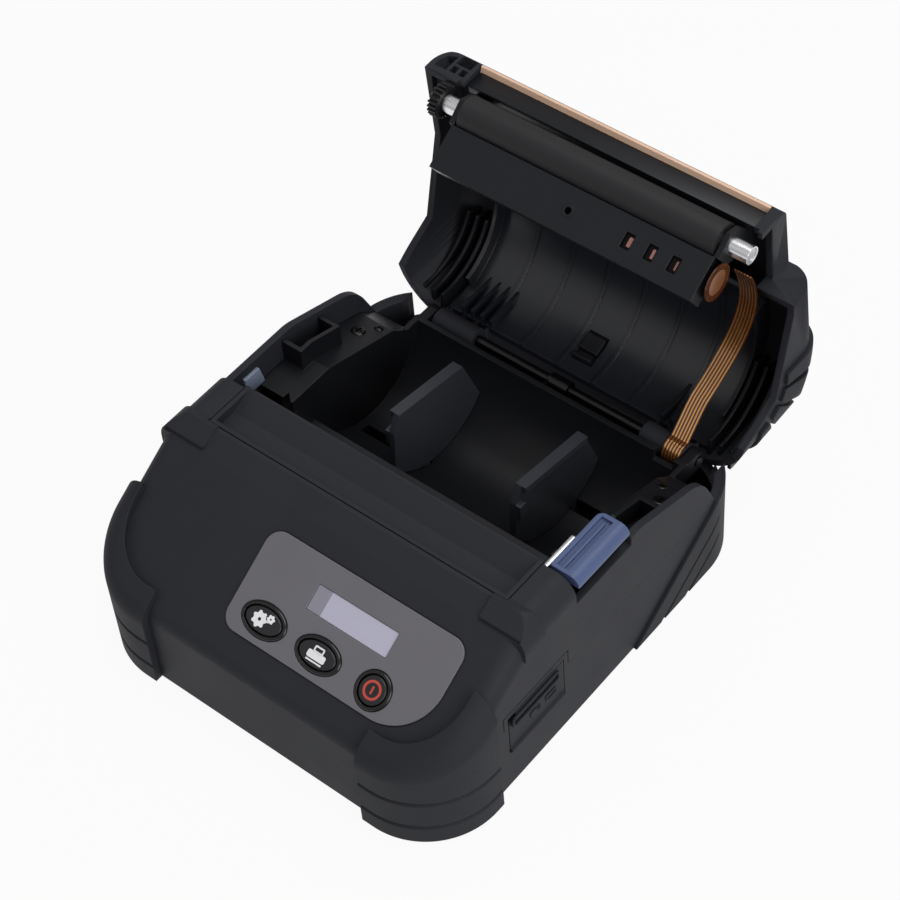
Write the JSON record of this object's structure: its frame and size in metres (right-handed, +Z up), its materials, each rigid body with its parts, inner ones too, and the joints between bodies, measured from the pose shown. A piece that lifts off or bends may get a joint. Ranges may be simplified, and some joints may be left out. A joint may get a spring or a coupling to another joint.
{
  "type": "receipt printer",
  "caption": "Portable receipt printer with rubber corners and a hinged lid open over its paper bin, showing the platen roller, sliding paper guides, release lever and control panel.",
  "frame": {"origin": "middle of the flat base, on the surface it stands on", "axes": "+Z up, -Y towards the control panel at the front, +X to the right seen from the front, where the release lever is"},
  "size_m": [0.1194, 0.1636, 0.0913],
  "materials": {
    "battery_skin": "shrink film",
    "bezel_black": "semi-gloss",
    "board_green": "solder mask",
    "bracket_plastic": "satin",
    "bumper_rubber": "matt",
    "bush_metal": "turned",
    "case_plastic": "fine-textured",
    "display_dark": "flat",
    "flex_amber": "film",
    "gear_plastic": "moulded",
    "head_ceramic": "glazed",
    "inner_plastic": "satin",
    "key_plastic": "satin",
    "lever_plastic": "satin",
    "liner_plastic": "polished",
    "overlay_film": "satin film",
    "platen_black": "ground",
    "sensor_dark": "moulded",
    "steel": "zinc plated",
    "strip_copper": "satin",
    "window_clear": "clear"
  },
  "bodies": {
    "base": {"battery_cover": "case_plastic", "battery_pack": "battery_skin", "button_bezels": "bezel_black", "case_screws": "steel", "control_overlay": "overlay_film", "display_module": "display_dark", "display_window": "window_clear", "exit_tray": "case_plastic", "feed_motor": "steel", "guide_stud": "steel", "head_spring": "steel", "hinge_pin": "steel", "hinge_spring": "steel", "io_sockets": "steel", "key_board": "board_green", "lower_bumper_left": "bumper_rubber", "lower_bumper_right": "bumper_rubber", "lower_case": "case_plastic", "main_board": "board_green", "paper_bin": "inner_plastic", "print_frame": "steel", "rear_bumper_left": "bumper_rubber", "rear_bumper_right": "bumper_rubber", "thermal_head": "head_ceramic", "upper_bumper_left": "bumper_rubber", "upper_bumper_right": "bumper_rubber", "upper_cover": "case_plastic"},
    "lid": {"lid_shell": "case_plastic", "lid_pad_left": "bumper_rubber", "lid_pad_right": "bumper_rubber", "lid_liner": "liner_plastic", "sensor_panel": "inner_plastic", "sensor_board": "board_green", "paper_sensors": "sensor_dark", "platen_bracket_left": "bracket_plastic", "platen_bracket_right": "bracket_plastic", "platen_bush_left": "bush_metal", "platen_bush_right": "bush_metal", "tear_strip": "strip_copper", "lip_plate": "inner_plastic", "flex_ribbon": "flex_amber", "flex_loop": "flex_amber"},
    "platen": {"platen_shaft": "steel", "platen_rubber": "platen_black", "platen_gear": "gear_plastic"},
    "latch": {"latch_shaft": "steel", "latch_hook_left": "steel", "latch_hook_right": "steel", "release_lever": "lever_plastic"},
    "settings_key": {"settings_button": "key_plastic"},
    "feed_key": {"feed_button": "key_plastic"},
    "power_key": {"power_button": "key_plastic"},
    "guide_left": {"paper_guide_left": "inner_plastic"},
    "guide_right": {"paper_guide_right": "inner_plastic"},
    "pinion": {"guide_pinion": "gear_plastic"},
    "motor_wheel": {"motor_pinion": "gear_plastic"},
    "drive_wheel": {"drive_gear": "gear_plastic"},
    "port_flap": {"port_cover": "bumper_rubber"}
  },
  "joints": [
    {"name": "lid_hinge", "type": "hinge", "parent": "base", "child": "lid", "pos_m": [0, 0.059, 0.022], "axis": [1, 0, 0], "range_deg": [0, 86]},
    {"name": "platen_spin", "type": "hinge", "parent": "lid", "child": "platen", "pos_m": [0, 0.07555, 0.08631], "axis": [1, 0, 0], "continuous": true},
    {"name": "release_lift", "type": "hinge", "parent": "base", "child": "latch", "pos_m": [0, -0.0142, 0.0432], "axis": [1, 0, 0], "range_deg": [0, 7], "stiffness_Nm_per_rad": 0.05, "springref_deg": -9.74},
    {"name": "settings_press", "type": "slide", "parent": "base", "child": "settings_key", "axis": [0, 0.5388, -0.8425], "range_m": [0, 0.0006], "stiffness_N_per_m": 400, "springref_m": -0.001},
    {"name": "feed_press", "type": "slide", "parent": "base", "child": "feed_key", "axis": [0, 0.5388, -0.8425], "range_m": [0, 0.0006], "stiffness_N_per_m": 400, "springref_m": -0.001},
    {"name": "power_press", "type": "slide", "parent": "base", "child": "power_key", "axis": [0, 0.5388, -0.8425], "range_m": [0, 0.0006], "stiffness_N_per_m": 400, "springref_m": -0.001},
    {"name": "guide_left_slide", "type": "slide", "parent": "base", "child": "guide_left", "axis": [-1, 0, 0], "range_m": [0, 0.02]},
    {"name": "guide_right_slide", "type": "slide", "parent": "base", "child": "guide_right", "axis": [1, 0, 0], "range_m": [0, 0.02]},
    {"name": "guide_pinion_spin", "type": "hinge", "parent": "base", "child": "pinion", "pos_m": [0, 0.031, 0.0028], "axis": [0, 0, 1], "range_deg": [-290, 0]},
    {"name": "drive_spin", "type": "hinge", "parent": "base", "child": "drive_wheel", "pos_m": [-0.0494, -0.0075, 0.01996], "axis": [1, 0, 0], "continuous": true},
    {"name": "motor_spin", "type": "hinge", "parent": "base", "child": "motor_wheel", "pos_m": [-0.0494, -0.001, 0.0115], "axis": [1, 0, 0], "continuous": true},
    {"name": "port_hinge", "type": "hinge", "parent": "base", "child": "port_flap", "pos_m": [0.0575, -0.026, 0.0148], "axis": [0, 1, 0], "range_deg": [0, 100]}
  ],
  "couplings": [
    {"joint": "guide_right_slide", "follows": "guide_left_slide", "ratio": 1},
    {"joint": "guide_pinion_spin", "follows": "guide_left_slide", "rad_per_m": -250},
    {"joint": "motor_spin", "follows": "drive_spin", "ratio": -2.5}
  ]
}
